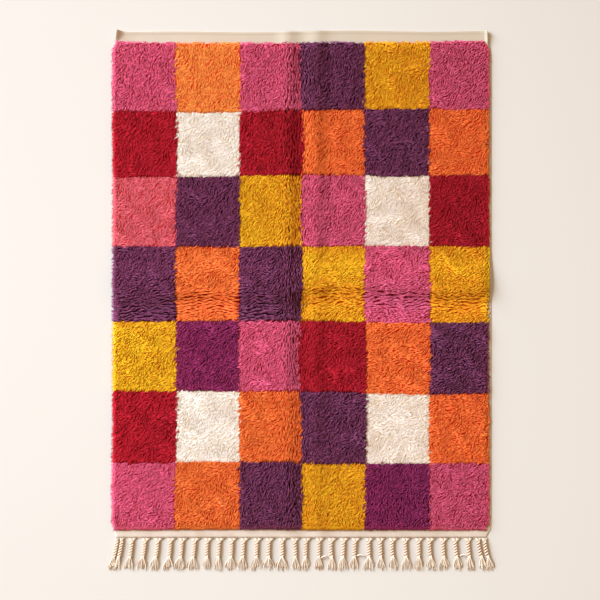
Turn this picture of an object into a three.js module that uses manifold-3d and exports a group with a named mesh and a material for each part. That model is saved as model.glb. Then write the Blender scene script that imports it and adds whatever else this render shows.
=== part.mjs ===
// A shag rug of knotted wool on a flat-woven ground, lying flat, with a twisted fringe at one end.
// Everything is in millimetres. X runs across the rug and Y along it, with the fringe at the low end.
// Z runs up from the floor. The origin is on the floor, midway along and across the whole rug.

import * as THREE from "three";
import { mergeVertices } from "three/addons/utils/BufferGeometryUtils.js";
import Module from "manifold-3d";

// The knotted pile
const pileWidth = 1514;
const pileLowEnd = -925;
const pileHighEnd = 1030;
const pileHeight = 21;
const pileRimHeight = 13;
const pileRimRounding = 24;
const pileRimInset = 8;
const pileUndercut = 7;
const lumpHeight = 3.4;
const lumpShift = 8;
const lumpPitch = 50;

// The flat-woven ground, which shows past the pile at both ends
const clothThickness = 3;
const clothWidth = 1490;
const clothLowEnd = -950;
const clothHighEnd = 1076;
const clothEndWave = 2.5;
const clothEndWaveLength = 690;
const clothCornerReach = 8;
const hemWidth = 9;
const hemThickness = 1.8;
const hemStep = 1;

// Room left between neighbouring pieces
const gap = 0.35;

// Folds that the rug keeps from being stored in quarters: each lifts the cloth off the floor.
// reachLow and reachHigh are how far the rise spreads to either side of its crest at "at".
// farShare is the share of the height that is left at the fringe end of a lengthwise fold.
const folds = [
  { runs: "lengthwise", at: -56, height: 9, reachLow: 46, reachHigh: 52, farShare: 0.35, lines: 2 },
  { runs: "lengthwise", at: 62, height: 8, reachLow: 54, reachHigh: 52, farShare: 0.35, lines: 2 },
  { runs: "crosswise", at: 68, height: 10, reachLow: 84, reachHigh: 140, farShare: 1, lines: 4 },
];

// Corners of the high end that curl up off the floor
const curls = [
  { side: -1, height: 11, reach: 44, drawnIn: 5 },
  { side: 1, height: 5, reach: 38, drawnIn: 2 },
];

// Locks of wool that stand out past the pile's rim
const lockPitch = 64;
const lockSides = 3;
const lockSteps = 2;
const lockRoot = 20;
const lockReach = 3;
const lockReachSpread = 4;
const lockLeanSpread = 6;
const lockLeanToFringe = 5;
const lockShiftShare = 0.16;
const lockStations = [
  { along: 0, halfWidth: 13, halfHeight: 6, height: 13 },
  { along: 0.5, halfWidth: 11, halfHeight: 4.5, height: 9.5 },
  { along: 1, halfWidth: 4.5, halfHeight: 1.2, height: 5.6 },
];

// The fringe: a strip parted from the cloth, and its twisted ropes, which end in loose yarns
const stripWidth = 7;
const stripThickness = 3;
const ropePitch = 49.6;
const ropeCount = 28;
const firstRope = -676;
const cornerRopes = [{ x: -735 }, { x: -716 }, { x: 706 }, { x: 731 }];
const ropeShift = 3;
const ropeLength = 74;
const ropeHalfWide = 7.4;
const ropeHalfThin = 4.8;
const ropeSteps = 18;
const ropeRootSteps = 3;
const ropeRootHalfWidth = 10.5;
const ropeRootHalfHeight = 1.3;
const ropeRootShare = 0.42;
const ropeEndHalfWidth = 7.8;
const ropeEndHalfHeight = 2.7;
const twistPerStep = Math.PI / 3;
const ropeLean = 16;
const ropeLeanShift = 4;
const ropeBow = 2.5;
const yarnSides = 3;
const yarnsPerRope = 4;
const yarnRadius = 1.9;
const yarnRootPitch = 3.6;
const yarnRootHeight = 2.2;
const yarnRootDepth = 1;
const yarnLength = 42;
const yarnLengthSpread = 5;
const yarnSpread = 25;
const yarnSpreadShare = 0.72;

// Points closer than this are one point
const mergeDistance = 1e-3;

const wasm = await Module();
wasm.setup();

// An uneven but repeatable number from -1 to 1 for each pair of counters.
function uneven(first, second) {
  const wave = Math.sin(first * 12.9898 + second * 78.233) * 43758.5453;
  return (wave - Math.floor(wave)) * 2 - 1;
}

function mix(from, to, share) {
  return from + (to - from) * share;
}

// From 0 to 1 with level ends.
function ease(share) {
  const inside = Math.min(Math.max(share, 0), 1);
  return inside * inside * (3 - 2 * inside);
}

// The start of each of a number of equal pieces of a length.
function divide(from, to, pieces) {
  return Array.from({ length: pieces }, (_, index) => mix(from, to, index / pieces));
}

// How far one fold lifts the cloth off the floor at a point.
function liftOfFold(fold, x, y) {
  const lengthwise = fold.runs === "lengthwise";
  const distance = (lengthwise ? x : y) - fold.at;
  const reach = distance < 0 ? fold.reachLow : fold.reachHigh;
  const alongRug = (y - clothLowEnd) / (clothHighEnd - clothLowEnd);
  const strength = lengthwise ? mix(fold.farShare, 1, alongRug) : 1;
  return fold.height * strength * ease(1 - Math.abs(distance) / reach);
}

// The height of the cloth's underside: crossing folds blend, they don't pile up.
function clothHeight(x, y) {
  return Math.hypot(...folds.map((fold) => liftOfFold(fold, x, y)));
}

// Grid lines that follow the folds which run one way.
function linesOfFolds(runs) {
  return folds
    .filter((fold) => fold.runs === runs)
    .flatMap((fold) => [
      ...divide(fold.at - fold.reachLow, fold.at, fold.lines),
      ...divide(fold.at, fold.at + fold.reachHigh, fold.lines),
      fold.at + fold.reachHigh,
    ]);
}

// A shape with only its points and faces, doubled points merged.
function bare(geometry) {
  const stripped = geometry.clone();
  stripped.deleteAttribute("normal");
  stripped.deleteAttribute("uv");
  return mergeVertices(stripped, mergeDistance);
}

// Moves every point of a shape to where a rule puts it.
function movePoints(geometry, place) {
  const points = geometry.attributes.position;
  for (let index = 0; index < points.count; index += 1) {
    const placed = place(points.getX(index), points.getY(index), points.getZ(index), index);
    points.setXYZ(index, placed.x, placed.y, placed.z);
  }
  return geometry;
}

// A thin slab on a grid of lines, each of its points placed by a rule.
function griddedSlab(linesX, linesY, place) {
  const columns = linesX.length - 1;
  const rows = linesY.length - 1;
  const slab = bare(new THREE.BoxGeometry(1, 1, 1, columns, rows, 1));
  return movePoints(slab, (x, y, z) => {
    const column = Math.round((x + 0.5) * columns);
    const row = Math.round((y + 0.5) * rows);
    return place(linesX[column], linesY[row], z > 0, column, row);
  });
}

// A closed prism along a path: the rule is given the share of its length and a point of its section.
function prismAlong(sides, steps, place) {
  const prism = bare(new THREE.CylinderGeometry(1, 1, 1, sides, steps));
  return movePoints(prism, (across, up, over) => place(0.5 - up, across, over));
}

function solidOf(geometry) {
  return new wasm.Manifold(
    new wasm.Mesh({
      numProp: 3,
      vertProperties: geometry.attributes.position.array,
      triVerts: new Uint32Array(geometry.index.array),
    }),
  );
}

function geometryOf(solid) {
  const mesh = solid.getMesh();
  const geometry = new THREE.BufferGeometry();
  geometry.setAttribute("position", new THREE.BufferAttribute(mesh.vertProperties, 3));
  geometry.setIndex(new THREE.BufferAttribute(mesh.triVerts, 1));
  return geometry;
}

function joinAll(solid, geometries) {
  return geometries.reduce((whole, geometry) => whole.add(solidOf(geometry)), solid);
}

// The cloth's grid lines: close at the folds, at the curled corners and along the hem.
const clothLinesX = [
  ...divide(-clothWidth / 2, -clothWidth / 2 + curls[0].reach, 4),
  ...divide(-clothWidth / 2 + curls[0].reach, folds[0].at - folds[0].reachLow, 2),
  ...linesOfFolds("lengthwise"),
  ...divide(folds[1].at + folds[1].reachHigh, clothWidth / 2 - curls[1].reach, 2).slice(1),
  ...divide(clothWidth / 2 - curls[1].reach, clothWidth / 2, 3),
  clothWidth / 2,
];
const clothLinesY = [
  ...divide(clothLowEnd, folds[2].at - folds[2].reachLow, 3),
  ...linesOfFolds("crosswise"),
  ...divide(folds[2].at + folds[2].reachHigh, pileHighEnd, 3).slice(1),
  ...divide(pileHighEnd, clothHighEnd - hemWidth - hemStep, 3),
  clothHighEnd - hemWidth - hemStep,
  clothHighEnd - hemWidth,
  clothHighEnd,
];

// The ground cloth: both flat-woven ends, with the hem turned under at the high end.
function makeGroundWeave() {
  return griddedSlab(clothLinesX, clothLinesY, (x, y, isTop) => {
    const pastPile = Math.max(0, (y - pileHighEnd) / (clothHighEnd - pileHighEnd));
    const acrossHalf = x / (clothWidth / 2);
    const wave = clothEndWave * Math.sin((2 * Math.PI * x) / clothEndWaveLength);
    const corner = clothCornerReach * Math.abs(acrossHalf) ** 8;
    const hem = y > clothHighEnd - hemWidth - hemStep / 2 ? hemThickness : 0;
    let lift = clothHeight(x, y);
    let drawnIn = 0;
    for (const curl of curls) {
      const toCorner = Math.hypot(curl.side * (clothWidth / 2) - x, clothHighEnd - y);
      const curled = y > pileHighEnd ? ease(1 - toCorner / curl.reach) : 0;
      lift += curl.height * curled;
      drawnIn -= curl.side * curl.drawnIn * curled;
    }
    return {
      x: x + drawnIn,
      y: y + (wave + corner) * pastPile,
      z: lift + (isTop ? clothThickness + hem : 0),
    };
  });
}

// The pile's grid lines: the cloth's own at the folds, and evenly lumpy elsewhere.
function pileLines(from, to, foldLines) {
  const low = foldLines[0];
  const high = foldLines.at(-1);
  return [
    from,
    ...divide(from + pileRimRounding, low, Math.round((low - from) / lumpPitch)),
    ...foldLines,
    ...divide(high, to - pileRimRounding, Math.round((to - high) / lumpPitch)).slice(1),
    to - pileRimRounding,
    to,
  ];
}

const rimRight = pileWidth / 2 - pileRimInset;
const rimLow = pileLowEnd + pileRimInset;
const rimHigh = pileHighEnd - pileRimInset;
const pileLinesX = pileLines(-rimRight, rimRight, linesOfFolds("lengthwise"));
const pileLinesY = pileLines(rimLow, rimHigh, linesOfFolds("crosswise"));

// The pile before it is cut to the cloth: its lumpy top, with a rounded rim.
function makeLumpyBlock() {
  const lastColumn = pileLinesX.length - 1;
  const lastRow = pileLinesY.length - 1;
  return griddedSlab(pileLinesX, pileLinesY, (x, y, isTop, column, row) => {
    const onRim = column === 0 || row === 0 || column === lastColumn || row === lastRow;
    const shift = onRim || !isTop ? 0 : lumpShift;
    const inset = isTop ? 0 : pileUndercut;
    const height = onRim ? pileRimHeight : pileHeight;
    const lump = lumpHeight * uneven(column, row);
    const top = clothHeight(x, y) + clothThickness + gap + height + lump;
    return {
      x: x - (inset * x) / rimRight + shift * uneven(column + 0.5, row),
      y: y - (inset * y) / rimHigh + shift * uneven(column, row + 0.5),
      z: isTop ? top : -pileHeight,
    };
  });
}

// What the cloth and the room above it take out of the pile's block, on the cloth's own grid lines.
function makeClothSpace() {
  const linesX = [-pileWidth, ...clothLinesX, pileWidth];
  const linesY = [-2 * pileHighEnd, ...clothLinesY, 2 * pileHighEnd];
  return griddedSlab(linesX, linesY, (x, y, isTop) => ({
    x,
    y,
    z: isTop ? clothHeight(x, y) + clothThickness + gap : -2 * pileHeight,
  }));
}

// One lock of wool at the rim, pointing outwards and drooping to its tip.
// Those of the long sides lean towards the fringe.
function makeLock(root, outward, order) {
  const reach = pileRimInset + lockReach + lockReachSpread * uneven(order, 3);
  const lean = lockLeanSpread * uneven(order, 5) - lockLeanToFringe * outward.x;
  const aside = { x: -outward.y, y: outward.x };
  return prismAlong(lockSides, lockSteps, (along, across, up) => {
    const station = lockStations[Math.round(along * lockSteps)];
    const out = mix(-lockRoot, reach, along);
    const side = lean * along + across * station.halfWidth;
    const x = root.x + outward.x * out + aside.x * side;
    const y = root.y + outward.y * out + aside.y * side;
    return { x, y, z: clothHeight(x, y) + station.height + up * station.halfHeight };
  });
}

// The locks of one straight side of the rim, from one corner to the next.
function makeSideLocks(from, to, outward, seed) {
  const count = Math.round(Math.hypot(to.x - from.x, to.y - from.y) / lockPitch);
  return Array.from({ length: count }, (_, index) => {
    const share = (index + 0.5 + lockShiftShare * uneven(index, seed)) / count;
    const root = { x: mix(from.x, to.x, share), y: mix(from.y, to.y, share) };
    return makeLock(root, outward, index + seed);
  });
}

function makeRimLocks() {
  const lowLeft = { x: -rimRight, y: rimLow };
  const lowRight = { x: rimRight, y: rimLow };
  const highRight = { x: rimRight, y: rimHigh };
  const highLeft = { x: -rimRight, y: rimHigh };
  return [
    ...makeSideLocks(lowLeft, lowRight, { x: 0, y: -1 }, 7),
    ...makeSideLocks(lowRight, highRight, { x: 1, y: 0 }, 41),
    ...makeSideLocks(highRight, highLeft, { x: 0, y: 1 }, 83),
    ...makeSideLocks(highLeft, lowLeft, { x: -1, y: 0 }, 127),
  ];
}

function makePile() {
  const block = solidOf(makeLumpyBlock()).subtract(solidOf(makeClothSpace()));
  return geometryOf(joinAll(block, makeRimLocks()));
}

// Where each rope of the fringe starts and how it lies: the ropes fan outwards towards the corners.
function ropePlaces() {
  const even = Array.from({ length: ropeCount }, (_, index) => firstRope + index * ropePitch);
  const starts = [...even, ...cornerRopes.map((rope) => rope.x)].sort((a, b) => a - b);
  return starts.map((start, order) => {
    const inCorner = cornerRopes.some((rope) => rope.x === start);
    const others = starts.filter((other) => other !== start);
    const room = Math.min(...others.map((other) => Math.abs(other - start)));
    const x = start + (inCorner ? 0 : ropeShift * uneven(order, 11));
    const fan = ropeLean * (x / (clothWidth / 2)) ** 3;
    const lean = fan + (inCorner ? 0 : ropeLeanShift * uneven(order, 13));
    const rootHalfWidth = Math.min(ropeRootHalfWidth, room * ropeRootShare);
    return { x, lean, order, room, rootHalfWidth, bow: ropeBow * uneven(order, 17) };
  });
}

const stripLow = clothLowEnd - gap - stripWidth;

// A rope's rings turn by a sixth of a turn each, so its lowest corners lie this far below its middle.
const ropeRise = ropeHalfWide * Math.sin(twistPerStep);

// The middle line of a rope: out of the strip, up to its own thickness, and flattened at its end.
function ropeAxis(rope, step) {
  const along = step / ropeSteps;
  const height = mix(stripThickness / 2, ropeRise, ease(step / ropeRootSteps));
  return {
    x: rope.x + rope.lean * along + rope.bow * Math.sin(Math.PI * along),
    y: stripLow + stripWidth / 2 - ropeLength * along,
    z: step === ropeSteps ? ropeEndHalfHeight : height,
  };
}

// One point of a rope's ring: a lozenge that turns from ring to ring, gathered from a flat root.
// The last ring is a flat oblong, which the loose yarns come out of.
function ropeRingPoint(rope, step, across, up) {
  const rooted = ease(step / ropeRootSteps);
  const isEnd = step === ropeSteps;
  const wide = isEnd ? across : across * mix(rope.rootHalfWidth, ropeHalfWide, rooted);
  const thin = isEnd ? up : up * mix(ropeRootHalfHeight, ropeHalfThin, rooted);
  const turn = twistPerStep * Math.max(0, step - ropeRootSteps) - (isEnd ? Math.PI / 4 : 0);
  const side = wide * Math.cos(turn) - thin * Math.sin(turn);
  const over = wide * Math.sin(turn) + thin * Math.cos(turn);
  return {
    side: isEnd ? side * Math.SQRT2 * ropeEndHalfWidth : side,
    over: isEnd ? over * Math.SQRT2 * ropeEndHalfHeight : over,
  };
}

function makeRope(rope) {
  return prismAlong(4, ropeSteps, (along, across, up) => {
    const step = Math.round(along * ropeSteps);
    const axis = ropeAxis(rope, step);
    const point = ropeRingPoint(rope, step, across, up);
    return { x: axis.x + point.side, y: axis.y, z: axis.z + point.over };
  });
}

// One loose yarn at the end of a rope, lying down to the floor.
function makeYarn(rope, index) {
  const end = ropeAxis(rope, ropeSteps);
  const place = index - (yarnsPerRope - 1) / 2;
  const order = rope.order * yarnsPerRope + index;
  const spread = Math.min(yarnSpread, rope.room * yarnSpreadShare) / (yarnsPerRope - 1);
  const length = yarnLength + yarnLengthSpread * uneven(order, 19);
  return prismAlong(yarnSides, 1, (along, across, up) => ({
    x: end.x + place * mix(yarnRootPitch, spread, along) + rope.lean * along + across * yarnRadius,
    y: end.y + yarnRootDepth - length * along,
    z: mix(yarnRootHeight, yarnRadius / 2, along) + up * yarnRadius,
  }));
}

function makeFringe() {
  const strip = bare(new THREE.BoxGeometry(clothWidth, stripWidth, stripThickness));
  strip.translate(0, stripLow + stripWidth / 2, stripThickness / 2);
  const ropes = ropePlaces();
  const yarns = ropes.flatMap((rope) =>
    Array.from({ length: yarnsPerRope }, (_, index) => makeYarn(rope, index)),
  );
  return geometryOf(joinAll(solidOf(strip), [...ropes.map(makeRope), ...yarns]));
}

function addPiece(group, name, geometry, color, roughness) {
  geometry.computeVertexNormals();
  const material = new THREE.MeshStandardMaterial({ color, roughness, metalness: 0 });
  const mesh = new THREE.Mesh(geometry, material);
  mesh.name = name;
  group.add(mesh);
}

const rug = new THREE.Group();
addPiece(rug, "ground_weave", makeGroundWeave(), 0xe9d8c6, 0.95);
addPiece(rug, "pile", makePile(), 0xb04a3a, 1);
addPiece(rug, "fringe", makeFringe(), 0xe6d3bf, 0.95);

export default rug;
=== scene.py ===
# A shag rug of hand-spun wool, knotted on a flat-woven ground, lying flat, seen from straight above.
# Metres. X runs across the rug, Y along it with the fringe at the low end, and Z up from the floor.
import math

import bmesh
import bpy
import numpy as np
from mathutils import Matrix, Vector


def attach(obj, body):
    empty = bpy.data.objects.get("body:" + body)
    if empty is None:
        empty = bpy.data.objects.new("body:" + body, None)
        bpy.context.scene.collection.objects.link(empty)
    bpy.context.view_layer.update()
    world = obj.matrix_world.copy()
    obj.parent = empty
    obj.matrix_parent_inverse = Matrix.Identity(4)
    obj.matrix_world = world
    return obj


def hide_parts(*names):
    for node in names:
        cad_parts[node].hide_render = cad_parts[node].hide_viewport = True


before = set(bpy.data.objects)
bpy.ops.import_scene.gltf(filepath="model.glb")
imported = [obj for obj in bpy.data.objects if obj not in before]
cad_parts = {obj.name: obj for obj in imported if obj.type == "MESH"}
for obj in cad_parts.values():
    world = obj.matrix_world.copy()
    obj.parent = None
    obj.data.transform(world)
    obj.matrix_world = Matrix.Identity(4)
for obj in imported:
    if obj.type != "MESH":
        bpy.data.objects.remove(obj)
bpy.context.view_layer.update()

millimetre = 0.001


def smooth(share):
    inside = np.clip(share, 0.0, 1.0)
    return inside * inside * (3.0 - 2.0 * inside)


def mix(start, end, share):
    return start + (end - start) * share


# 1 over a place and easing to 0 at its reach, or later if the middle is flat
def bump(distance, reach, flat=1.0):
    return smooth(flat - np.abs(distance) / reach)


# slow waves in the plane, from about -1 to 1, for anything that drifts over the rug
def drift(x, y, waveLength, seed):
    chance = np.random.default_rng(seed)
    total = 0.0
    waves = 9
    for wave in range(waves):
        turn = chance.uniform(0, 2 * math.pi)
        number = 2 * math.pi / (waveLength * chance.uniform(0.7, 1.5))
        phase = chance.uniform(0, 2 * math.pi)
        total = total + np.sin(number * (x * math.cos(turn) + y * math.sin(turn)) + phase)
    return total * math.sqrt(2.0 / waves) * 0.7


# ground cloth, as in the solids but for two edges: its low end is 3 mm further out, and its bound right
# edge shows past the pile
cloth = {
    "width": 1.490,
    "lowEnd": -0.953,
    "highEnd": 1.076,
    "thickness": 0.003,
    "gap": 0.00035,  # between the cloth and the pile
    "pileHighEnd": 1.030,
    "endWave": 0.0025,  # of the high end's edge
    "endWaveLength": 0.690,
    "leftCorner": 0.011,  # how far that edge's left corner reaches out
    "leftSetBack": 0.004,  # and how far the edge falls back towards it
    "hemStart": 1.0615,
    "hemThickness": 0.0010,
    "waist": 0.006,  # share by which the cloth narrows at the low end
    "selvedge": 0.015,  # how far the bound right edge shows past the pile
    "selvedgeStart": 0.700,  # X from which the cloth is drawn out to it
    "thinning": 0.6,  # share of its thickness that it loses there and at the low end
    "columns": [0, 12, 84, 96],  # grid cells across, and the share of the width they reach
    "columnShares": [-0.5, -0.47, 0.47, 0.5],
    # Y where each stretch of the grid starts, and the cells along it
    "rowPlaces": [(-0.953, 3), (-0.920, 40), (0.0, 14), (0.200, 34), (1.024, 9), (1.062, 2), (1.067, 3)],
}

# folds kept from being stored in quarters; farShare is how much of one is left at the fringe
folds = [
    {"lengthwise": True, "at": -0.056, "height": 0.009, "low": 0.046, "high": 0.052, "farShare": 0.35},
    {"lengthwise": True, "at": 0.062, "height": 0.008, "low": 0.054, "high": 0.052, "farShare": 0.35},
    {"lengthwise": False, "at": 0.068, "height": 0.010, "low": 0.084, "high": 0.140, "farShare": 1.0},
]

# the two corners that curl up off the floor, and the cloth's side edge that lifts with them
curls = [
    {"side": -1, "height": 0.011, "reach": 0.040, "drawnIn": 0.006, "edgeHeight": 0.007, "edgeWidth": 0.022},
    {"side": 1, "height": 0.003, "reach": 0.038, "drawnIn": 0.001, "edgeHeight": 0.009, "edgeWidth": 0.013},
]


# 0 at the fringe's end of the cloth and 1 at the other
def alongRug(y):
    return (y - cloth["lowEnd"]) / (cloth["highEnd"] - cloth["lowEnd"])


def clothHeight(x, y):
    total = 0.0
    for fold in folds:
        distance = (x if fold["lengthwise"] else y) - fold["at"]
        reach = np.where(distance < 0, fold["low"], fold["high"])
        strength = mix(fold["farShare"], 1.0, alongRug(y)) if fold["lengthwise"] else 1.0
        total = total + (fold["height"] * strength * bump(distance, reach)) ** 2
    return np.sqrt(total)


# squares of dyed wool, from the high end to the fringe, and the lines between them in millimetres
chart = {
    "dyes": [
        ["magenta", "lightOrange", "magenta", "plum", "mustard", "magenta"],
        ["red", "cream", "red", "orange", "plum", "orange"],
        ["coral", "plum", "mustard", "magenta", "cream", "red"],
        ["plum", "orange", "plum", "mustard", "magenta", "mustard"],
        ["mustard", "berry", "magenta", "red", "orange", "plum"],
        ["red", "cream", "orange", "plum", "cream", "orange"],
        ["magenta", "orange", "plum", "mustard", "berry", "magenta"],
    ],
    # each line's X in each row, from the high end down
    "columnLines": [
        [-757, -757, -755, -757, -756, -757, -760],
        [-504, -493, -501, -503, -500, -496, -507],
        [-243, -248, -246, -248, -251, -249, -246],
        [-4, 10, -4, 7, -12, 1, 3],
        [253, 250, 257, 250, 260, 260, 254],
        [511, 509, 508, 514, 516, 507, 511],
        [758, 758, 757, 758, 755, 758, 758],
    ],
    # each line's Y in each column, from left to right
    "rowLines": [
        [1033, 1030, 1030, 1032, 1033, 1036],
        [754, 744, 755, 758, 763, 761],
        [490, 492, 496, 499, 491, 499],
        [214, 211, 212, 214, 216, 213],
        [-85, -84, -82, -85, -91, -91],
        [-365, -365, -365, -367, -377, -374],
        [-651, -646, -646, -656, -652, -653],
        [-924, -922, -922, -925, -924, -925],
    ],
    "ends": (-0.925, 1.031),
    "halfWidth": 0.757,
    "cornerReach": 0.040,  # how far from the ends the sides start to draw in
    "cornerShare": 0.015,
    # how the wool lies in each square, in degrees: 0 lies to the right and 90 to the high end
    "lies": [
        [245, 245, 240, 238, 237, 234],
        [228, 240, 230, 225, 213, 215],
        [230, 225, 238, 240, 238, 230],
        [205, 205, 205, 210, 205, 200],
        [228, 225, 225, 218, 205, 205],
        [222, 228, 215, 225, 200, 210],
        [225, 222, 235, 238, 250, 220],
    ],
}

# middles of the chart's columns and rows, which the lines' values belong to
columnMiddles = np.array([-630, -376, -124, 128, 383, 635]) * millimetre
rowMiddles = np.array([894, 628, 356, 66, -225, -510, -788]) * millimetre


def columnLine(index, y):
    line = np.interp(-y, -rowMiddles, np.array(chart["columnLines"][index]) * millimetre)
    if index in (0, 6):
        toEnd = np.minimum(y - chart["ends"][0], chart["ends"][1] - y)
        line = line * (1 - chart["cornerShare"] * (1 - smooth(toEnd / chart["cornerReach"])))
    return line


def rowLine(index, x):
    return np.interp(x, columnMiddles, np.array(chart["rowLines"][index]) * millimetre)


def squareOf(x, y):
    column = sum((x > columnLine(index, y)).astype(int) for index in range(1, 6))
    row = sum((y < rowLine(index, x)).astype(int) for index in range(1, 7))
    return column, row


def lieOf(x, y):
    lies = np.radians(chart["lies"])
    along = np.interp(-y, -rowMiddles, np.arange(7))
    across = np.interp(x, columnMiddles, np.arange(6))
    row = np.minimum(along.astype(int), 5)
    column = np.minimum(across.astype(int), 4)
    high = mix(lies[row, column], lies[row, column + 1], across - column)
    low = mix(lies[row + 1, column], lies[row + 1, column + 1], across - column)
    return mix(high, low, along - row)


# distance of a place from each side of the pile, counted inwards
def toRims(x, y):
    return {
        "left": x - columnLine(0, y), "right": columnLine(6, y) - x,
        "low": y - rowLine(7, x), "high": rowLine(0, x) - y,
    }


# how the pile falls at its rim; at the gentler sides a distance counts as this share of itself less a step
rim = {
    "height": 0.0025,
    "width": 0.019,
    "startShare": 0.25,  # how far up it starts, before easing
    "gentler": {"right": (0.62, 0.0045), "low": (0.6, 0.004)},
    "rightFall": 0.007,  # how much lower the pile lies at its right side
    "rightFallReach": 0.240,
}


def distanceInside(x, y, isGentler=True):
    rims = toRims(x, y)
    if isGentler:
        for side, (share, step) in rim["gentler"].items():
            rims[side] = share * rims[side] - step
    return np.minimum(np.minimum(rims["left"], rims["right"]), np.minimum(rims["low"], rims["high"]))


def rimShare(x, y):
    return smooth(distanceInside(x, y) / rim["width"] + rim["startShare"])


# Where the pile swells or sinks over the folds: its place across the fold, height, reach to the low and to
# the high side, and the share left at the fringe. The crease is the dark rows along the crosswise fold.
pileFolds = {
    "lengthwise": [
        (-0.068, 0.006, 0.075, 0.045, 1.0),
        (-0.004, -0.007, 0.038, 0.038, 1.0),
        (0.048, 0.004, 0.036, 0.036, 1.0),
        (0.106, -0.008, 0.052, 0.052, 0.0),
    ],
    "lengthwiseFarShare": 0.65,
    "crosswise": [
        (0.062, 0.011, 0.058, 0.120, 1.0),
        (-0.028, -0.011, 0.090, 0.080, 1.0),
    ],
    "crosswiseRightLoss": 0.5,
    # middle of the crease and half its width, over each column of the chart
    "creasePlaces": [-0.034, -0.003, -0.030, 0.026, 0.002, -0.010],
    "creaseReach": [0.060, 0.045, 0.062, 0.038, 0.036, 0.040],
}

# Where the pile parts into rows along the lengthwise fold: X, reach, strength, the share left at the fringe,
# and how far along the rug it starts. Then how the rows run there and at the crease: their pitch, how closely
# locks keep to them, and the waves they wander in, each with its reach, length and seed.
parting = {
    "lengthwise": [
        (-0.038, 0.060, 1.0, 1.0, None),
        (0.020, 0.045, 0.9, 1.0, 0.375),
        (0.096, 0.055, 0.95, 0.3, None),
    ],
    "farShare": 0.75,
    "patchLength": 0.08,
    "creaseLossAtFold": 0.6,  # where the crease crosses the lengthwise fold
    "creaseLossReach": 0.080,
    "rows": {
        "lengthwise": {"pitch": 0.0118, "snap": 0.66, "waves": [(0.0055, 0.11, 21), (0.0024, 0.04, 24)]},
        "crosswise": {"pitch": 0.0122, "snap": 0.78, "waves": [(0.0028, 0.045, 22), (0.0060, 0.15, 23)]},
    },
}


def creaseMiddle(x):
    return np.interp(x, columnMiddles, pileFolds["creasePlaces"])


def swells(place, shapes, along):
    total = 0.0
    for at, height, low, high, farShare in shapes:
        reach = np.where(place < at, low, high)
        total = total + height * bump(place - at, reach) * mix(farShare, 1.0, along)
    return total


def foldRelief(x, y):
    along = alongRug(y)
    lengthwise = swells(x, pileFolds["lengthwise"], along) * mix(pileFolds["lengthwiseFarShare"], 1.0, along)
    crosswise = swells(y - creaseMiddle(x), pileFolds["crosswise"], along)
    return lengthwise + crosswise * (1.0 - pileFolds["crosswiseRightLoss"] * smooth((x - 0.700) / 0.050))


def openedLengthwise(x, y):
    along = alongRug(y)
    opened = 0.0
    for at, reach, strength, farShare, start in parting["lengthwise"]:
        share = strength * bump(x - at, reach) * mix(farShare, 1.0, along)
        if start:
            share = share * smooth((along - start) / (1.0 - start))
        opened = np.maximum(opened, share)
    patches = smooth(1.2 + 0.6 * drift(x, y * 0.6, parting["patchLength"], 61))
    return opened * mix(parting["farShare"], 1.0, along) * patches


def openedCrosswise(x, y):
    patches = smooth(1.3 + 0.6 * drift(x * 0.6, y, parting["patchLength"], 62))
    opened = bump(y - creaseMiddle(x), np.interp(x, columnMiddles, pileFolds["creaseReach"]), 1.5)
    return opened * (1.0 - parting["creaseLossAtFold"] * bump(x, parting["creaseLossReach"])) * patches


# how far a parted row wanders from straight
def wander(rows, x, y):
    return sum(reach * drift(x, y, length, seed) for reach, length, seed in rows["waves"])


def toNearestRow(rows, place, x, y):
    wandered = wander(rows, x, y)
    return np.round((place - wandered) / rows["pitch"]) * rows["pitch"] + wandered - place


# one lock of wool, and how the locks stand
locks = {
    "spacing": 0.0048,
    "area": (1.514, 1.956),  # across and along, that the spacing is counted over
    "ends": (-0.924, 1.031),
    "placeJitter": 0.42,  # share of the spacing
    "widest": 0.42,  # share of its length at which it is thickest
    "halfWidth": (0.0017, 0.0027),  # from and to, as run, tipDrop and the insets and overshoots are
    "halfHeight": (0.0020, 0.0028),
    "run": (0.014, 0.028),
    "height": 0.0185,  # middle line above the cloth
    "heightSpread": 0.0025,
    "heightCap": 0.035,  # above the floor
    "pressed": 0.7,  # share that is pressed away of what would stand past that
    "tipDrop": (0.0, 0.003),
    "bend": 0.0045,
    "opened": {"run": 0.5, "bend": -0.7, "halfWidth": 0.02},  # shares gained or lost where the pile opens
    "middleShare": 0.4,  # of its run at which a lock counts as over a square
    "rootDepth": 0.006,  # below the top, and the more where the pile opens
    "rootDepthOpened": 0.008,
    "clothReach": 0.014,  # distance inside the rim from which there is cloth under a lock
    "restHeight": 0.0036,  # of a lock that hangs past the cloth
    "overshoot": (-0.0050, 0.0075),  # how far a lock passes its own square's edge
    "rimOvershoot": {
        "left": (-0.006, 0.007), "right": (-0.0145, -0.0070), "low": (-0.006, 0.001), "high": (-0.003, 0.005),
    },
    "tuftReach": (0.0058, 0.0030),  # of the tufts that a square's edge is ragged by, across and along
    "tuftLength": 0.018,
    "lump": 0.0008,
    "lumpLength": 0.075,
    # extra locks along the rim, from end to end of its sides and ends
    "rimPitch": 0.004,
    "rimInset": (0.006, 0.022),
    "rimSides": (-0.918, 1.026),
    "rimEnds": (-0.748, 0.749),
}


# height of a lock's middle line over a place: level inside, falling over the rim
def pileHeight(x, y):
    base = clothHeight(x, y) + cloth["thickness"]
    lump = locks["lump"] * drift(x, y, locks["lumpLength"], 71) + foldRelief(x, y)
    lump = lump - rim["rightFall"] * smooth(1 - toRims(x, y)["right"] / rim["rightFallReach"])
    height = base + mix(rim["height"], locks["height"] + lump, rimShare(x, y))
    height = height - locks["pressed"] * np.maximum(height - locks["heightCap"], 0)
    return np.maximum(height, base + rim["height"])


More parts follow.
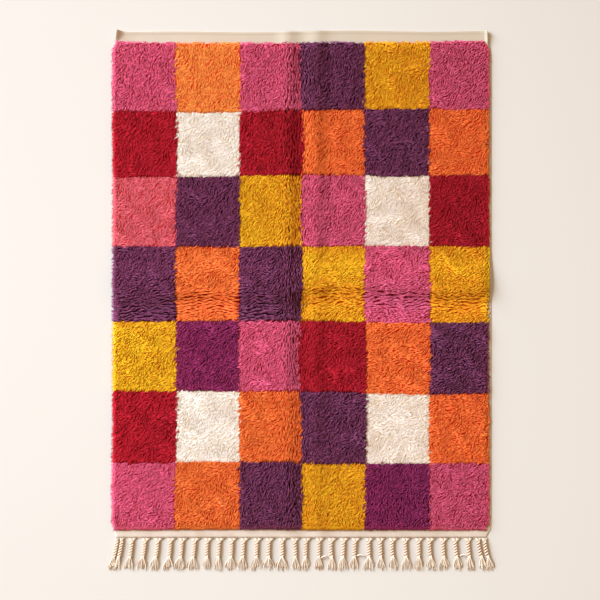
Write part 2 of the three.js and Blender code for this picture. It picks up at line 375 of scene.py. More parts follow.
# nodes
def linear(hexColor):
    parts = [int(hexColor[index:index + 2], 16) / 255.0 for index in (0, 2, 4)]
    return [part / 12.92 if part <= 0.04045 else ((part + 0.055) / 1.055) ** 2.4 for part in parts]


# stops are a colour ramp's places and colours
def addNode(material, kind, settings=None, inputs=None, stops=()):
    node = material.node_tree.nodes.new(kind)
    for name, value in (settings or {}).items():
        setattr(node, name, value)
    for name, value in (inputs or {}).items():
        if isinstance(value, bpy.types.NodeSocket):
            material.node_tree.links.new(value, node.inputs[name])
        else:
            node.inputs[name].default_value = value
    for index, (place, color) in enumerate(stops):
        elements = node.color_ramp.elements
        element = elements[index] if index < len(elements) else elements.new(place)
        element.position = place
        element.color = (*color, 1.0)
    return node


def newMaterial(name):
    material = bpy.data.materials.new(name)
    material.use_nodes = True
    material.node_tree.nodes.clear()
    return material


black, white = (0.0,) * 3, (1.0,) * 3


# strands along a piece's own UV, as many to a unit each way as strands says
def fibreRelief(material, place, strands):
    fibres = addNode(
        material, "ShaderNodeMapping", inputs={"Vector": place.outputs["UV"], "Scale": (*strands, 1.0)},
    )
    grain = addNode(
        material, "ShaderNodeTexNoise", {"noise_dimensions": "2D"},
        {"Vector": fibres.outputs["Vector"], "Scale": 1.0, "Detail": 2.0},
    )
    return addNode(material, "ShaderNodeBump", inputs={
        "Height": grain.outputs["Fac"], "Strength": 0.6, "Distance": 0.0006,
    })


def finishMatt(material, color, relief, roughness, specular):
    shader = addNode(material, "ShaderNodeBsdfPrincipled", inputs={
        "Base Color": color.outputs[2], "Normal": relief.outputs["Normal"],
        "Roughness": roughness, "Specular IOR Level": specular,
    })
    addNode(material, "ShaderNodeOutputMaterial", inputs={"Surface": shader.outputs["BSDF"]})
    return material


# each dye's colour at the root, which paints the shade down among the locks, its colours on the darker and
# lighter locks, and its colour on a lock's crest, which paints a highlight on each lock's top; relief is how
# far its locks stand out
dyes = {
    "magenta": {"colors": ("A32231", "BC2D42", "FF5A7F", "FF8CBE"), "relief": 0.95},
    "plum": {"colors": ("3E1632", "4B203A", "914472", "C26A9A"), "relief": 1.9},
    "mustard": {"colors": ("CA5E07", "E5790C", "FFDD1F", "FFC837"), "relief": 0.85},
    "orange": {"colors": ("CC2B11", "FC3B20", "FF7335", "FFB25B"), "relief": 0.95},
    "lightOrange": {"colors": ("E33415", "EE461F", "FF8740", "FFCE67"), "relief": 0.62},
    "red": {"colors": ("79060E", "9F0C15", "ED2031", "CB354E"), "relief": 1.1},
    "cream": {"colors": ("D6BD9D", "D0B3A0", "FFFFFF", "ECE1DA"), "relief": 0.28},
    "berry": {"colors": ("4B0E28", "591633", "A93266", "D45099"), "relief": 1.3},
    "coral": {"colors": ("BF2025", "A92F35", "FF5C68", "DE8D9E"), "relief": 0.62},
}


# Hand-spun sheep's wool, dyed in the yarn: matt, with hardly any sheen, and a little uneven from lock to
# lock.
# Its colour is painted darker towards the root as shade, where light doesn't reach, and painted lighter on
# each lock's crest as a highlight. Its strands are half a millimetre wide, far coarser than real fibres, so
# that they show.
def dyedWool(name, colors):
    material = newMaterial(name)
    place = addNode(material, "ShaderNodeUVMap", {"uv_map": "OFBake"})
    parts = addNode(material, "ShaderNodeSeparateXYZ", inputs={"Vector": place.outputs["UV"]})
    tone = addNode(
        material, "ShaderNodeValToRGB", inputs={"Fac": parts.outputs["X"]},
        stops=[(0.0, linear(colors[1])), (1.0, linear(colors[2]))],
    )
    # painted shade: the root colour, from each lock's hidden root up its lower part, and on the bed
    depth = addNode(
        material, "ShaderNodeValToRGB", inputs={"Fac": parts.outputs["Y"]},
        stops=[(0.14, black), (0.82, white)],
    )
    # painted highlight: the crest colour, along the top of each lock and towards its tip
    crestForPaintedLight = addNode(
        material, "ShaderNodeValToRGB", inputs={"Fac": parts.outputs["Y"]},
        stops=[(0.62, black), (1.0, white)],
    )
    # sockets 6 and 7 are this node's two colours, and its output 2 is the mixed one
    withPaintedRootShade = addNode(material, "ShaderNodeMix", {"data_type": "RGBA"}, {
        "Factor": depth.outputs["Color"], 6: (*linear(colors[0]), 1.0), 7: tone.outputs["Color"],
    })
    color = addNode(material, "ShaderNodeMix", {"data_type": "RGBA"}, {
        "Factor": crestForPaintedLight.outputs["Color"], 6: withPaintedRootShade.outputs[2], 7: (*linear(colors[3]), 1.0),
    })
    return finishMatt(material, color, fibreRelief(material, place, (140.0, 3.0)), 0.9, 0.12)


# camera: straight down, from far enough that the pile's depth hardly shows
view = {"width": 2.4, "height": 8.0, "centre": (-0.0056, 0.0)}
cameraData = bpy.data.cameras.new("camera")
cameraData.sensor_width = 36.0
cameraData.lens = cameraData.sensor_width * view["height"] / view["width"]
cameraData.clip_end = 60.0
camera = bpy.data.objects.new("camera", cameraData)
camera.location = (*view["centre"], view["height"])
bpy.context.scene.collection.objects.link(camera)
bpy.context.scene.camera = camera
print("camera placed")


# a round bar along Z from 0 to 1, a unit wide at most: a tube that is cut and then shaped
def barTemplate(sides, cuts, widths):
    bar = bmesh.new()
    bmesh.ops.create_cone(bar, cap_ends=True, segments=sides, radius1=1.0, radius2=1.0, depth=1.0)
    bmesh.ops.translate(bar, verts=bar.verts, vec=(0.0, 0.0, 0.5))
    for cut in cuts:
        bmesh.ops.bisect_plane(
            bar, geom=bar.verts[:] + bar.edges[:] + bar.faces[:],
            plane_co=(0.0, 0.0, cut), plane_no=(0.0, 0.0, 1.0),
        )
    stations = [0.0, *cuts, 1.0]
    for vert in bar.verts:
        width = float(np.interp(vert.co.z, stations, widths))
        vert.co.x *= width
        vert.co.y *= width
    bmesh.ops.recalc_face_normals(bar, faces=bar.faces)
    return bar


# a three-sided lock along Z, pointed at both ends
def lockTemplate():
    lock = bmesh.new()
    widest = locks["widest"]
    bmesh.ops.create_cone(lock, cap_ends=True, segments=3, radius1=1.0, radius2=0.0, depth=1.0 - widest)
    bmesh.ops.translate(lock, verts=lock.verts, vec=(0.0, 0.0, (1.0 + widest) / 2))
    base = min(lock.faces, key=lambda face: face.calc_center_median().z)
    root = bmesh.ops.poke(lock, faces=[base])["verts"][0]
    root.co.z = 0.0
    bmesh.ops.recalc_face_normals(lock, faces=lock.faces)
    return lock


def arraysOf(template):
    template.verts.index_update()
    points = np.array([vert.co[:] for vert in template.verts])
    faces = [[vert.index for vert in face.verts] for face in template.faces]
    return points, faces


# many copies of one small shape as one mesh: points is copies x points x 3, uvs copies x points x 2
def joinedMesh(name, points, uvs, faces):
    copies, perCopy = points.shape[:2]
    loops = np.concatenate([np.array(face) for face in faces])
    sizes = np.array([len(face) for face in faces])
    starts = np.concatenate([[0], np.cumsum(sizes)[:-1]])
    offsets = np.arange(copies)[:, None]
    allLoops = (loops[None, :] + offsets * perCopy).ravel()
    allStarts = (starts[None, :] + offsets * len(loops)).ravel()
    mesh = bpy.data.meshes.new(name)
    mesh.vertices.add(copies * perCopy)
    mesh.vertices.foreach_set("co", points.astype(np.float32).ravel())
    mesh.loops.add(len(allLoops))
    mesh.loops.foreach_set("vertex_index", allLoops.astype(np.int32))
    mesh.polygons.add(copies * len(faces))
    mesh.polygons.foreach_set("loop_start", allStarts.astype(np.int32))
    mesh.polygons.foreach_set("use_smooth", np.ones(copies * len(faces), dtype=bool))
    mesh.update(calc_edges=True)
    layer = mesh.uv_layers.new(name="OFBake")
    layer.data.foreach_set("uv", uvs.reshape(-1, 2)[allLoops].astype(np.float32).ravel())
    return mesh


# moves every point of a shape to where a rule on all its coordinates puts it
def movePoints(shape, rule):
    shape.verts.index_update()
    before = np.array([vert.co[:] for vert in shape.verts])
    after = np.stack(rule(*before.T), axis=1)
    for vert, place in zip(shape.verts, after):
        vert.co = place


def asMesh(name, shape):
    mesh = bpy.data.meshes.new(name)
    shape.to_mesh(mesh)
    shape.free()
    return mesh


def addPart(whole, part):
    whole.from_mesh(part)
    bpy.data.meshes.remove(part)


def newPiece(name, shape, material):
    piece = bpy.data.objects.new(name, asMesh(name, shape))
    bpy.context.scene.collection.objects.link(piece)
    piece.data.materials.append(material)
    return piece


def trianglesOf(piece):
    return sum(len(polygon.vertices) - 2 for polygon in piece.data.polygons)


# where the locks' roots are, in rows that are half a step out of line with each other
def lockPlaces(chance):
    columns, rows = (int(round(side / locks["spacing"])) for side in locks["area"])
    jitter = locks["placeJitter"]
    across, along = np.meshgrid(np.arange(columns), np.arange(rows))
    across = across.ravel() + 0.5 + 0.5 * (along.ravel() % 2) - 0.25
    along = along.ravel() + 0.5
    across = (across + jitter * chance.uniform(-1, 1, across.size)) / columns
    along = (along + jitter * chance.uniform(-1, 1, along.size)) / rows
    y = mix(*locks["ends"], along)
    x = mix(columnLine(0, y), columnLine(6, y), across)
    y = mix(rowLine(7, x), rowLine(0, x), along)

    # one more row of locks just inside the rim
    sideY = np.arange(*locks["rimSides"], locks["rimPitch"])
    endX = np.arange(*locks["rimEnds"], locks["rimPitch"])
    sideInset = chance.uniform(*locks["rimInset"], sideY.size)
    endInset = chance.uniform(*locks["rimInset"], endX.size)
    x = np.concatenate([x, columnLine(0, sideY) + sideInset, columnLine(6, sideY) - sideInset, endX, endX])
    y = np.concatenate([y, sideY, sideY, rowLine(7, endX) + endInset, rowLine(0, endX) - endInset])
    return x, y


# how the locks are combed: turns in radians, with the length they drift over and a seed
combing = {
    "turns": [(0.45, 0.11, 11), (0.25, 0.05, 12)],
    "turnSpread": 0.20,
    "strength": 0.9,
    "foldPlace": -0.018,
    "foldReach": 0.078,
    "foldFarShare": 0.75,
    "creaseReach": 0.065,
    "wobble": 0.26,
    "wobbleOpened": 0.09,
    # how strongly the locks fan out at each side, and from how far inside
    "fan": {"left": (0.7, 0.035), "right": (0.8, 0.022), "low": (1.4, 0.030), "high": (1.2, 0.022)},
    "fanSpread": (0.5, 1.2),
}


def lockHeadings(chance, x, y, opened):
    count = x.size
    turn = lieOf(x, y)
    for reach, length, seed in combing["turns"]:
        turn = turn + reach * drift(x, y, length, seed)
    turn = turn + chance.normal(0, combing["turnSpread"], count)
    heading = np.stack([np.cos(turn), np.sin(turn)], axis=1)

    # combed lengthwise beside the lengthwise fold, and crosswise at the crease
    nearFold = bump(x - combing["foldPlace"], combing["foldReach"], 1.35)
    nearFold = nearFold * mix(combing["foldFarShare"], 1.0, alongRug(y))
    nearCrease = bump(y - creaseMiddle(x), combing["creaseReach"], 1.4) * (1 - nearFold)
    step = 0.004
    alongRows, acrossRows = parting["rows"]["lengthwise"], parting["rows"]["crosswise"]
    leanX = (wander(alongRows, x, y + step) - wander(alongRows, x, y - step)) / (2 * step)
    leanY = (wander(acrossRows, x + step, y) - wander(acrossRows, x - step, y)) / (2 * step)
    wobble = mix(combing["wobble"], combing["wobbleOpened"], opened) * chance.normal(0, 1, count)
    down = np.stack([wobble - leanX, -np.ones(count)], axis=1)
    sideways = np.stack([-np.ones(count), wobble - leanY], axis=1)
    heading = mix(heading, down, (combing["strength"] * nearFold)[:, None])
    heading = mix(heading, sideways, (combing["strength"] * nearCrease)[:, None])

    # fanned outwards at the rim
    rims = toRims(x, y)
    out = {}
    for side, (strength, reach) in combing["fan"].items():
        out[side] = strength * smooth(1 - rims[side] / reach)
    fan = np.stack([out["right"] - out["left"], out["high"] - out["low"]], axis=1)
    heading = heading + fan * chance.uniform(*combing["fanSpread"], count)[:, None]
    return heading / np.linalg.norm(heading, axis=1)[:, None]


# how far back each lock goes so that its tip hardly passes its own square's edge, or the rim
def stepBack(chance, tip, column, row, tuftX, tuftY):
    count = len(tip)
    over = chance.uniform(*locks["overshoot"], count)
    share = chance.uniform(0, 1, count)
    atRim = {side: mix(*limits, share) + 0.2 * tuftX for side, limits in locks["rimOvershoot"].items()}
    low, high, left, right = (np.empty(count) for side in range(4))
    for index in range(6):
        here = column == index
        left[here] = columnLine(index, tip[here, 1])
        right[here] = columnLine(index + 1, tip[here, 1])
    for index in range(7):
        here = row == index
        high[here] = rowLine(index, tip[here, 0])
        low[here] = rowLine(index + 1, tip[here, 0])
    overLeft = np.where(column == 0, atRim["left"], over + tuftX)
    overRight = np.where(column == 5, atRim["right"], over - tuftX)
    overLow = np.where(row == 6, atRim["low"], over + tuftY)
    overHigh = np.where(row == 0, atRim["high"], over - tuftY)
    backX = np.maximum(left - overLeft - tip[:, 0], 0) - np.maximum(tip[:, 0] - right - overRight, 0)
    backY = np.maximum(low - overLow - tip[:, 1], 0) - np.maximum(tip[:, 1] - high - overHigh, 0)
    return backX, backY


# what makes a lock darker or lighter than its dye's middle tone, on a scale from 0 to 1: tone that differs
# at random, and painted light and shade
tonesAndPaintedLight = {
    "middle": 0.5,
    # painted light: lighter on the left, where the lamp is, and darker towards the right
    "paintedLightFallsToRight": -0.30,
    "drifts": [(0.06, 0.22, 31), (0.06, 0.05, 32)],  # over patches, and over tufts: reach, length and seed
    "spread": 0.19,  # from lock to lock
    # painted highlight on the crosswise fold's top, and painted shade in the lengthwise fold's foot
    "paintedHighlightAtFoldTop": (0.140, 0.085, 0.28),  # place, reach and change
    "paintedShadeAtFoldFoot": (-0.018, 0.030, 0.20),
    # painted shade where the pile parts over the folds
    "opened": 0.35,
    "openedCrosswise": 0.10,
    # painted light and shade at the rims: darker by the left rim, which faces the lamp, and lighter by the
    # right and low rims, which slope away from it
    "rims": {"left": (-0.30, 0.020), "right": (0.9, 0.028), "low": (0.35, 0.030)},
    "limits": (0.03, 0.97),
}


def lockTonesAndPaintedLight(chance, x, y, opened, openedAtCrease, unevenness):
    patches, tufts = (reach * drift(x, y, length, seed) for reach, length, seed in tonesAndPaintedLight["drifts"])
    tone = tonesAndPaintedLight["middle"] + tonesAndPaintedLight["paintedLightFallsToRight"] * x / chart["halfWidth"] + patches
    place, reach, change = tonesAndPaintedLight["paintedHighlightAtFoldTop"]
    tone = tone + change * bump(y - place, reach)
    spread = tonesAndPaintedLight["spread"] * chance.normal(0, 1, x.size) + tufts
    tone = tone + unevenness * spread - tonesAndPaintedLight["opened"] * opened - tonesAndPaintedLight["openedCrosswise"] * openedAtCrease
    place, reach, change = tonesAndPaintedLight["paintedShadeAtFoldFoot"]
    tone = tone - change * bump(x - place, reach)
    # painted light and shade by the rims
    rims = toRims(x, y)
    for side, (change, reach) in tonesAndPaintedLight["rims"].items():
        tone = tone + change * smooth(1 - rims[side] / reach)
    return np.clip(tone, *tonesAndPaintedLight["limits"])


# where every lock stands and how it lies
def plantLocks():
    chance = np.random.default_rng(3)
    x, y = lockPlaces(chance)
    count = x.size
    partedX = openedLengthwise(x, y)
    partedY = openedCrosswise(x, y)
    opened = np.maximum(partedX, partedY)
    heading = lockHeadings(chance, x, y, opened)

    # rows that part where the pile opens over a fold
    rows = parting["rows"]["lengthwise"]
    x = x + rows["snap"] * partedX * toNearestRow(rows, x, x, y)
    rows = parting["rows"]["crosswise"]
    y = y + rows["snap"] * partedY * toNearestRow(rows, y, x, y)

    run = chance.uniform(*locks["run"], count) * (1 + locks["opened"]["run"] * opened)
    bend = locks["bend"] * chance.uniform(-1, 1, count) * (1 + locks["opened"]["bend"] * opened)
    # a lock's bend has six tenths of its reach at the tip
    aside = np.stack([-heading[:, 1], heading[:, 0]], axis=1)
    tip = np.stack([x, y], axis=1) + heading * run[:, None] + aside * 0.6 * bend[:, None]

    # a lock belongs to the square that its middle lies over
    middle = np.stack([x, y], axis=1) + locks["middleShare"] * run[:, None] * heading
    tuftX = locks["tuftReach"][0] * drift(x, y, locks["tuftLength"], 41)
    tuftY = locks["tuftReach"][1] * drift(x, y, locks["tuftLength"], 42)
    column, row = squareOf(middle[:, 0] + tuftX, middle[:, 1] + tuftY)
    backX, backY = stepBack(chance, tip, column, row, tuftX, tuftY)
    x, y = x + backX, y + backY

    relief = np.array([[dyes[dye]["relief"] for dye in line] for line in chart["dyes"]])[row, column]
    return {
        "x": x, "y": y, "heading": heading, "run": run, "column": column, "row": row, "relief": relief,
        "opened": opened,
        "halfWidth": chance.uniform(*locks["halfWidth"], count) * (1 + locks["opened"]["halfWidth"] * opened),
        "halfHeight": chance.uniform(*locks["halfHeight"], count),
        "heightShift": locks["heightSpread"] * chance.uniform(-1, 1, count),
        "tipDrop": chance.uniform(*locks["tipDrop"], count),
        "bend": bend,
        "tone": lockTonesAndPaintedLight(chance, x, y, opened, partedY, smooth(relief / 0.7)),
    }


def lockPoints(planted, chosen, template):
    across = template[None, :, 0]
    up = template[None, :, 1]
    along = template[None, :, 2]
    heading = planted["heading"][chosen]
    own = {name: values[chosen][:, None] for name, values in planted.items() if name != "heading"}
    forward = own["run"] * along ** 1.2
    aside = own["bend"] * (along ** 2 - 0.4 * along)
    sideways = aside + across * own["halfWidth"]
    x = own["x"] + heading[:, :1] * forward - heading[:, 1:] * sideways
    y = own["y"] + heading[:, 1:] * forward + heading[:, :1] * sideways
    middleX = own["x"] + heading[:, :1] * forward - heading[:, 1:] * aside
    middleY = own["y"] + heading[:, 1:] * forward + heading[:, :1] * aside
    relief = own["relief"] * mix(0.4, 1.0, rimShare(middleX, middleY))
    top = pileHeight(middleX, middleY) + relief * own["heightShift"]
    root = top - relief * locks["rootDepth"] - locks["rootDepthOpened"] * own["opened"]
    drop = relief * own["tipDrop"] * smooth((along - 0.55) / 0.45)
    z = mix(root, top, smooth(along / 0.5)) - drop + up * own["halfHeight"] * relief
    onCloth = clothHeight(x, y) + cloth["thickness"] + cloth["gap"]
    isOverCloth = distanceInside(x, y, False) > locks["clothReach"]
    z = np.maximum(z, np.where(isOverCloth, onCloth, locks["restHeight"]))
    # U is the tone, with its painted light, and V goes up each lock's side to its crest, painted as a
    # highlight, and from its hidden root, painted as shade, to its tip
    paintedShadeToHighlight = smooth(along / locks["widest"]) * (0.55 + 0.40 * up) + 0.25 * smooth(along * 2 - 1)
    v = np.broadcast_to(0.03 + 0.94 * paintedShadeToHighlight + 0.01 * along, x.shape)
    return np.stack([x, y, z], axis=2), np.stack([own["tone"] + 0.03 * across, v], axis=2)


# the roots' dense mat under the locks of a square, painted all in the root's shade colour
bed = {"inset": 0.007, "cells": 14, "depth": 0.0045, "depthOpened": 0.010, "thinnest": 0.0008}


def bedMesh(row, column):
    inset = bed["inset"]
    relief = dyes[chart["dyes"][row][column]]["relief"]

    def rule(across, along, level):
        rough = rowMiddles[row] + 0.28 * along
        left = columnLine(column, rough) + (inset if column == 0 else 0)
        right = columnLine(column + 1, rough) - (2 * inset if column == 5 else 0)
        x = mix(left, right, across + 0.5)
        low = rowLine(row + 1, x) + (inset if row == 6 else 0)
        high = rowLine(row, x) - (inset if row == 0 else 0)
        y = mix(low, high, along + 0.5)
        opened = np.maximum(openedLengthwise(x, y), openedCrosswise(x, y))
        base = clothHeight(x, y) + cloth["thickness"] + cloth["gap"]
        top = pileHeight(x, y) - relief * bed["depth"] - bed["depthOpened"] * opened
        return x, y, np.where(level > 0.5, np.maximum(top, base + bed["thinnest"]), base)

    mat = bmesh.new()
    bmesh.ops.create_grid(mat, x_segments=bed["cells"], y_segments=bed["cells"], size=0.5)
    bmesh.ops.solidify(mat, geom=mat.faces[:], thickness=-1.0)
    movePoints(mat, rule)
    bmesh.ops.recalc_face_normals(mat, faces=mat.faces)
    # V stays near 0, so the material paints the whole mat in the painted root shade
    layer = mat.loops.layers.uv.new("OFBake")
    for face in mat.faces:
        for loop in face.loops:
            x, y, z = loop.vert.co
            loop[layer].uv = (0.1 + 0.3 * (x + 0.8), 0.001 + 0.01 * (y + 1) + z * 0.1)
    return asMesh("bed", mat)


def makePile(dye, planted, template, faces):
    chosen = np.nonzero(np.array(chart["dyes"])[planted["row"], planted["column"]] == dye)[0]
    points, uvs = lockPoints(planted, chosen, template)
    whole = bmesh.new()
    addPart(whole, joinedMesh("locks", points, uvs, faces))
    for row, line in enumerate(chart["dyes"]):
        for column in range(6):
            if line[column] == dye:
                addPart(whole, bedMesh(row, column))
    piece = newPiece("pile_" + dye, whole, dyedWool("wool_dyed_" + dye, dyes[dye]["colors"]))
    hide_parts("pile")
    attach(piece, "root")
    print("pile", dye, len(chosen), "locks", trianglesOf(piece), "triangles")
    return piece


template, templateFaces = arraysOf(lockTemplate())
planted = plantLocks()
piles = [makePile(dye, planted, template, templateFaces) for dye in dyes]


# Cotton, spun and woven undyed: matt and warm white, blotched every 7 cm or so, and painted with shade that
# makes it darker towards the far end and its right corner. Its ribs, where the weft is beaten up, are 4.2 mm
# apart, coarser than real ones, so that they show.
def wovenCotton(name):
    material = newMaterial(name)
    place = addNode(material, "ShaderNodeTexCoord")
    blotches = addNode(
        material, "ShaderNodeTexNoise",
        inputs={"Vector": place.outputs["Object"], "Scale": 14.0, "Detail": 3.0},
    )
    tone = addNode(
        material, "ShaderNodeValToRGB", inputs={"Fac": blotches.outputs["Fac"]},
        stops=[(0.3, linear("CCBBAE")), (0.7, linear("DFD3CA"))],
    )
    parts = addNode(
        # painted shade: darker towards the high end's right corner
        material, "ShaderNodeVectorMath", {"operation": "DOT_PRODUCT"},
        {0: place.outputs["Object"], 1: (0.5, 1.0, 0.0)},
    )
    paintedShadeToFarCorner = addNode(material, "ShaderNodeMapRange", inputs={
        "Value": parts.outputs["Value"], "From Min": -1.0, "From Max": 1.35,
    })
    color = addNode(material, "ShaderNodeMix", {"data_type": "RGBA"}, {
        "Factor": paintedShadeToFarCorner.outputs["Result"], 6: tone.outputs["Color"], 7: (*linear("C1B4A3"), 1.0),
    })
    ribs = addNode(
        material, "ShaderNodeTexWave", {"bands_direction": "Y", "wave_profile": "SIN"}, {
            "Vector": place.outputs["Object"], "Scale": 75.0, "Distortion": 1.2,
            "Detail": 2.0, "Detail Scale": 3.0,
        },
    )
    relief = addNode(material, "ShaderNodeBump", inputs={
        "Height": ribs.outputs["Fac"], "Strength": 0.7, "Distance": 0.0007,
    })
    return finishMatt(material, color, relief, 0.95, 0.15)


# Y of each line of the cloth's grid
def clothLines():
    places = cloth["rowPlaces"] + [(cloth["highEnd"], 0)]
    lines = []
    for (start, count), (end, after) in zip(places, places[1:]):
        lines += [mix(start, end, step / count) for step in range(count)]
    return np.array(lines + [cloth["highEnd"]])


def clothPoint(across, along, level):
    lines = clothLines()
    column = (across + 0.5) * cloth["columns"][-1]
    flatX = cloth["width"] * np.interp(column, cloth["columns"], cloth["columnShares"])
    flatY = lines[np.rint((along + 0.5) * (len(lines) - 1)).astype(int)]
    halfWidth = cloth["width"] / 2

    # the high end's edge, out of line with the pile's
    acrossHalf = flatX / halfWidth
    pastPile = np.maximum(0.0, (flatY - cloth["pileHighEnd"]) / (cloth["highEnd"] - cloth["pileHighEnd"]))
    wave = cloth["endWave"] * np.sin(2 * math.pi * flatX / cloth["endWaveLength"])
    corner = cloth["leftCorner"] * np.clip(-acrossHalf, 0, 1) ** 26
    corner = corner - cloth["leftSetBack"] * smooth((0.4 - acrossHalf) / 1.2)
    y = flatY + (wave + corner) * pastPile

    x = flatX * (1 - cloth["waist"] * smooth((-0.920 - flatY) / 0.030))
    besidePile = smooth((cloth["pileHighEnd"] - flatY) / 0.040) * smooth((flatY + 0.940) / 0.030)
    x = x + cloth["selvedge"] * besidePile * smooth((flatX - cloth["selvedgeStart"]) / 0.040)
    lift = clothHeight(flatX, flatY)
    for curl in curls:
        toCorner = np.hypot(curl["side"] * halfWidth - flatX, cloth["highEnd"] - flatY)
        curled = np.where(flatY > cloth["pileHighEnd"], smooth(1 - toCorner / curl["reach"]), 0.0)
        toEdge = halfWidth - curl["side"] * flatX
        edge = smooth(1 - toEdge / curl["edgeWidth"]) * smooth((flatY - 1.000) / 0.040)
        lift = lift + curl["height"] * curled + curl["edgeHeight"] * edge
        x = x - curl["side"] * curl["drawnIn"] * curled

    thinned = besidePile * smooth((flatX - 0.720) / 0.025) + smooth((-0.944 - flatY) / 0.009)
    thickness = cloth["thickness"] * (1 - cloth["thinning"] * thinned)
    thickness = thickness + cloth["hemThickness"] * smooth((flatY - cloth["hemStart"]) / 0.006)
    return x, y, lift + np.where(level > 0.5, thickness, 0.0)


def makeGround():
    rows = sum(count for place, count in cloth["rowPlaces"])
    ground = bmesh.new()
    bmesh.ops.create_grid(ground, x_segments=cloth["columns"][-1], y_segments=rows, size=0.5)
    bmesh.ops.solidify(ground, geom=ground.faces[:], thickness=-1.0)
    movePoints(ground, clothPoint)
    bmesh.ops.recalc_face_normals(ground, faces=ground.faces)
    for face in ground.faces:
        face.smooth = True
    piece = newPiece("ground_cloth", ground, wovenCotton("cotton_woven_undyed"))
    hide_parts("ground_weave")
    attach(piece, "root")
    return piece


groundPiece = makeGround()
print("ground cloth made")


# Cotton warp ends, twisted by hand: matt and warm white, painted lighter on each strand's outer side and top
# as a highlight, and browner between the strands and at their roots as painted shade, where light doesn't
# reach. Along a rope its strands are 1.6 mm, coarser than real ones, so that they show.
def twistedCotton(name):
    material = newMaterial(name)
    place = addNode(material, "ShaderNodeUVMap", {"uv_map": "OFBake"})
    parts = addNode(material, "ShaderNodeSeparateXYZ", inputs={"Vector": place.outputs["UV"]})
    tone = addNode(
        material, "ShaderNodeValToRGB", inputs={"Fac": parts.outputs["X"]},
        stops=[(0.0, linear("A5734F")), (0.5, linear("DDC4AC")), (1.0, linear("F5ECE1"))],
    )
    # painted shade: the root colour at the start of each yarn and gathered warp end
    depth = addNode(
        material, "ShaderNodeValToRGB", inputs={"Fac": parts.outputs["Y"]},
        stops=[(0.0, black), (0.14, white)],
    )
    color = addNode(material, "ShaderNodeMix", {"data_type": "RGBA"}, {
        "Factor": depth.outputs["Color"], 6: (*linear("7A5A40"), 1.0), 7: tone.outputs["Color"],
    })
    return finishMatt(material, color, fibreRelief(material, place, (9.0, 60.0)), 0.95, 0.15)


# fringe: ropes of two plies as in the solids, the loose yarns they end in, and the warp ends they start from
fringe = {
    "pitch": 0.0496,
    "count": 28,
    "first": -0.676,
    "corners": [-0.735, -0.716, 0.706, 0.731],
    "shift": 0.003,
    "lean": 0.016,
    "leanShift": 0.004,
    "bow": 0.0025,
    "start": -0.9535,
    "rootHeight": 0.003,
    "length": 0.077,
    "turnLength": 0.0216,  # one full turn of the twist
    "plySteps": 38,
    "plyRadius": 0.0036,
    "plyReach": (0.0056, 0.0026),  # of its middle from the rope's: across and up
    "yarns": 17,
    "yarnOverlap": 0.006,  # how far up the rope they start
    "yarnRadius": (0.0010, 0.0014),
    "lowerYarnShare": 1.3,  # how much thicker the lower layer's yarns are
    # the lower layer is painted darker, as the shade beneath the upper layer's yarns
    "yarnTones": [(0.05, 0.4), (0.5, 0.8)],  # of the lower and the upper layer
    "yarnCurl": 0.0014,
    "yarnLength": (0.038, 0.061),
    "yarnSpread": 0.0190,
    "yarnHeights": (0.0072, 0.0026),  # at the rope and at the tip
    "upperRise": 0.0034,  # of the upper layer of yarns
    "gathers": [-0.013, -0.006, 0.003, 0.010, 0.017, 0.0235],  # warp ends drawn into each rope
    "gatherRadius": 0.0026,
    "gatherLength": 0.017,
    "gatherHeights": (0.0032, 0.0078),
    "strayRadius": 0.0026,
    # loose yarns that bridge two tassels: from and to, in X and Y
    "strays": [
        (0.074, -1.036, 0.110, -1.028), (0.218, -1.024, 0.262, -1.030), (0.634, -1.022, 0.670, -1.032),
    ],
}


# an uneven but repeatable number from -1 to 1 for each pair of counters, as in the solids
def uneven(first, second):
    wave = math.sin(first * 12.9898 + second * 78.233) * 43758.5453
    return (wave - math.floor(wave)) * 2 - 1


def ropePlaces():
    starts = [fringe["first"] + index * fringe["pitch"] for index in range(fringe["count"])]
    starts = sorted(starts + fringe["corners"])
    places = []
    for order, start in enumerate(starts):
        loose = 0 if start in fringe["corners"] else 1
        x = start + loose * fringe["shift"] * uneven(order, 11)
        lean = fringe["lean"] * (x / (cloth["width"] / 2)) ** 3
        lean = lean + loose * fringe["leanShift"] * uneven(order, 13)
        room = min(abs(start - other) for other in starts if other != start)
        places.append({"x": x, "lean": lean, "room": room, "bow": fringe["bow"] * uneven(order, 17)})
    return places


# middle line of a rope at a share of its length
def ropeAxis(rope, along):
    x = rope["x"] + rope["lean"] * along + rope["bow"] * np.sin(math.pi * along)
    y = fringe["start"] - fringe["length"] * along
    z = mix(fringe["rootHeight"], fringe["plyRadius"] + fringe["plyReach"][1], smooth(along / 0.12))
    return np.stack([x, y, z], axis=-1)


def barAlong(template, path, radius):
    along = template[:, 2]
    step = 1e-3
    ahead = path(np.minimum(along + step, 1.0)) - path(np.maximum(along - step, 0.0))
    forward = ahead / np.linalg.norm(ahead, axis=1)[:, None]
    up = np.array([0.0, 0.0, 1.0]) - forward * forward[:, 2:3]
    up = up / np.linalg.norm(up, axis=1)[:, None]
    side = np.cross(up, forward)
    return path(along) + side * template[:, :1] * radius + up * template[:, 1:2] * radius


def plyPath(rope, ply):
    def path(along):
        centre = ropeAxis(rope, along)
        turn = 2 * math.pi * along * fringe["length"] / fringe["turnLength"] + math.pi * ply
        opened = smooth(along / 0.08)
        centre[..., 0] += fringe["plyReach"][0] * np.cos(turn) * opened
        centre[..., 2] += fringe["plyReach"][1] * np.sin(turn) * opened
        return centre
    return path


